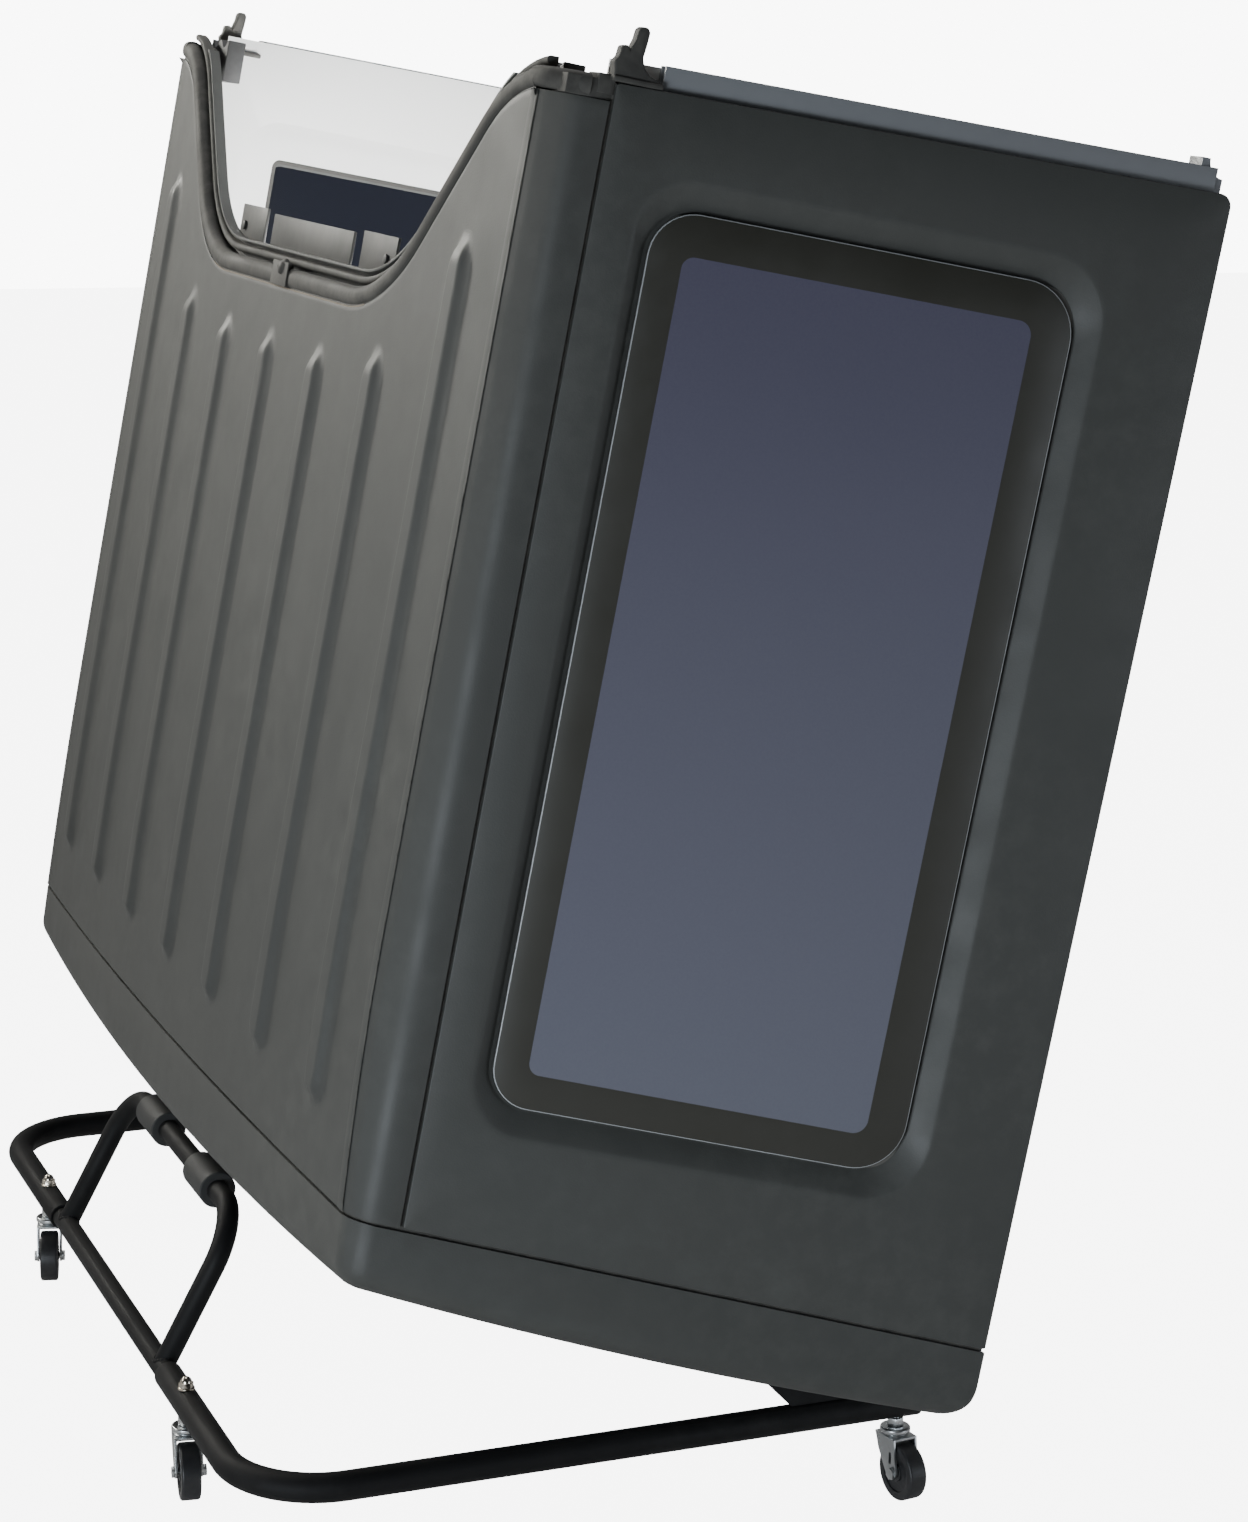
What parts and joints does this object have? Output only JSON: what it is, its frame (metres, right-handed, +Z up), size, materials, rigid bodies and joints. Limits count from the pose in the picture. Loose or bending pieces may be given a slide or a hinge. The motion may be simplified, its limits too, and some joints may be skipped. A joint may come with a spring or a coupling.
{
  "type": "vehicle hardtop on storage cart",
  "caption": "Removable two-door vehicle hardtop with quarter and rear glass, stored upright on a telescoping tube cart with rollers and casters.",
  "frame": {"origin": "bottom centre of the bounding box, on the floor", "axes": "+Z up, +X from the cart's cross tube along its arms, +Y across the cart and the hardtop's width"},
  "size_m": [0.9774, 1.6188, 1.5897],
  "materials": {
    "textured_shell": "fine textured, dusty dark grey",
    "tinted_glass": "privacy tint, polished",
    "seal_rubber": "matte, dusty",
    "white_liner": "smooth light grey-white",
    "bright_steel": "bright zinc plated",
    "black_steel": "matte black powder coat",
    "black_plastic": "moulded, matte",
    "roller_foam": "smooth dense foam rubber",
    "zinc_steel": "bright zinc plated, pressed",
    "nickel_nut": "bright nickel plated",
    "caster_wheel": "hard black nylon"
  },
  "bodies": {
    "cart": {"centre_tube": "black_steel", "arm_tube_right": "black_steel", "arm_tube_left": "black_steel", "end_caps": "black_plastic", "hoop": "black_steel", "bracket_right": "black_steel", "bracket_left": "black_steel", "bracket_pads": "seal_rubber", "caster_stems": "zinc_steel", "swivel_races": "zinc_steel", "cap_nuts": "nickel_nut"},
    "hardtop": {"roof_panel": "textured_shell", "side_panel_right": "textured_shell", "side_panel_left": "textured_shell", "quarter_glass_right": "tinted_glass", "quarter_glass_left": "tinted_glass", "quarter_glass_bonds": "seal_rubber", "rear_frame": "textured_shell", "rear_glass_seal": "seal_rubber", "roof_liner": "white_liner", "side_liner_right": "white_liner", "side_liner_left": "white_liner", "window_beads": "seal_rubber", "seam_backing": "seal_rubber", "opening_channel": "textured_shell", "opening_seal": "seal_rubber", "opening_inner_bead": "seal_rubber", "seal_joint": "seal_rubber", "striker_plates": "bright_steel", "striker_screws": "bright_steel", "seal_corner_right": "seal_rubber", "seal_corner_left": "seal_rubber", "header_brackets": "black_plastic", "door_seal_right": "seal_rubber", "door_seal_left": "seal_rubber", "belt_rail_right": "black_steel", "belt_rail_left": "black_steel", "belt_seals": "seal_rubber", "rear_hinge_bases": "black_steel"},
    "rear_glass": {"rear_glass": "tinted_glass", "rear_hinge_arms": "black_steel"},
    "roller_right": {"roller_right": "roller_foam"},
    "roller_left": {"roller_left": "roller_foam"},
    "swivel_front_right": {"fork_front_right": "zinc_steel", "axle_front_right": "zinc_steel"},
    "wheel_front_right": {"wheel_front_right": "caster_wheel"},
    "swivel_front_left": {"fork_front_left": "zinc_steel", "axle_front_left": "zinc_steel"},
    "wheel_front_left": {"wheel_front_left": "caster_wheel"},
    "swivel_end_right": {"fork_end_right": "zinc_steel", "axle_end_right": "zinc_steel"},
    "wheel_end_right": {"wheel_end_right": "caster_wheel"},
    "brake_end_right": {"brake_lever_end_right": "zinc_steel"},
    "swivel_end_left": {"fork_end_left": "zinc_steel", "axle_end_left": "zinc_steel"},
    "wheel_end_left": {"wheel_end_left": "caster_wheel"},
    "brake_end_left": {"brake_lever_end_left": "zinc_steel"}
  },
  "joints": [
    {"name": "hardtop_lift", "type": "slide", "parent": "cart", "child": "hardtop", "axis": [0, 0, 1], "range_m": [0, 0.6]},
    {"name": "rear_glass_hinge", "type": "hinge", "parent": "hardtop", "child": "rear_glass", "pos_m": [-0.33695, 0, 0.31231], "axis": [0, 1, 0], "range_deg": [0, 14]},
    {"name": "roller_right_spin", "type": "hinge", "parent": "cart", "child": "roller_right", "pos_m": [-0.37506, -0.112, 0.27276], "axis": [0, 1, 0], "continuous": true},
    {"name": "roller_left_spin", "type": "hinge", "parent": "cart", "child": "roller_left", "pos_m": [-0.37506, 0.112, 0.27276], "axis": [0, 1, 0], "continuous": true},
    {"name": "swivel_front_right", "type": "hinge", "parent": "cart", "child": "swivel_front_right", "pos_m": [-0.46426, -0.344, 0.07], "axis": [0, 0, 1], "continuous": true},
    {"name": "wheel_front_right_spin", "type": "hinge", "parent": "swivel_front_right", "child": "wheel_front_right", "pos_m": [-0.46692, -0.3618, 0.03175], "axis": [0.989, -0.1478, 0], "continuous": true},
    {"name": "swivel_front_left", "type": "hinge", "parent": "cart", "child": "swivel_front_left", "pos_m": [-0.46426, 0.344, 0.07], "axis": [0, 0, 1], "continuous": true},
    {"name": "wheel_front_left_spin", "type": "hinge", "parent": "swivel_front_left", "child": "wheel_front_left", "pos_m": [-0.46892, 0.32661, 0.03175], "axis": [0.9659, -0.2588, 0], "continuous": true},
    {"name": "swivel_end_right", "type": "hinge", "parent": "cart", "child": "swivel_end_right", "pos_m": [0.27174, -0.6064, 0.07], "axis": [0, 0, 1], "continuous": true},
    {"name": "wheel_end_right_spin", "type": "hinge", "parent": "swivel_end_right", "child": "wheel_end_right", "pos_m": [0.27424, -0.62423, 0.03175], "axis": [0.9903, 0.1392, 0], "continuous": true},
    {"name": "brake_end_right", "type": "hinge", "parent": "swivel_end_right", "child": "brake_end_right", "pos_m": [0.27424, -0.62423, 0.03175], "axis": [-0.9903, -0.1392, 0], "range_deg": [0, 14]},
    {"name": "swivel_end_left", "type": "hinge", "parent": "cart", "child": "swivel_end_left", "pos_m": [0.27174, 0.6064, 0.07], "axis": [0, 0, 1], "continuous": true},
    {"name": "wheel_end_left_spin", "type": "hinge", "parent": "swivel_end_left", "child": "wheel_end_left", "pos_m": [0.27017, 0.58847, 0.03175], "axis": [0.9962, -0.0872, 0], "continuous": true},
    {"name": "brake_end_left", "type": "hinge", "parent": "swivel_end_left", "child": "brake_end_left", "pos_m": [0.27017, 0.58847, 0.03175], "axis": [-0.9962, 0.0872, 0], "range_deg": [0, 14]}
  ]
}
